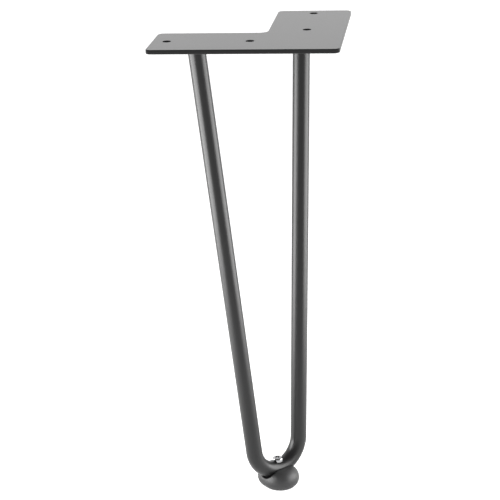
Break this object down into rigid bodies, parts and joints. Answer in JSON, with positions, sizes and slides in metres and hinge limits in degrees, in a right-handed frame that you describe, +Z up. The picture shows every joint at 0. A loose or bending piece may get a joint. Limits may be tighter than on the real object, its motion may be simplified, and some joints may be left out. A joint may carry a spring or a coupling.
{
  "type": "hairpin table leg",
  "caption": "Hairpin table leg: a round steel rod bent into a narrow V, welded under an L-shaped corner plate with screw holes, on a screwed-on moulded saddle foot.",
  "frame": {"origin": "on the plate's top face, where the centre lines of its two arms cross", "axes": "+X along the front edge away from the front arm, +Y along the side arm, +Z up out of the plate's top face, towards the table"},
  "size_m": [0.1251, 0.1251, 0.338],
  "materials": {
    "powder_coat": "satin",
    "foot_plastic": "satin",
    "zinc_screw": "polished"
  },
  "bodies": {
    "root": {"mounting_plate": "powder_coat", "hairpin_rod": "powder_coat", "front_weld": "powder_coat", "side_weld": "powder_coat", "foot": "foot_plastic", "foot_screw": "zinc_screw"}
  },
  "joints": []
}
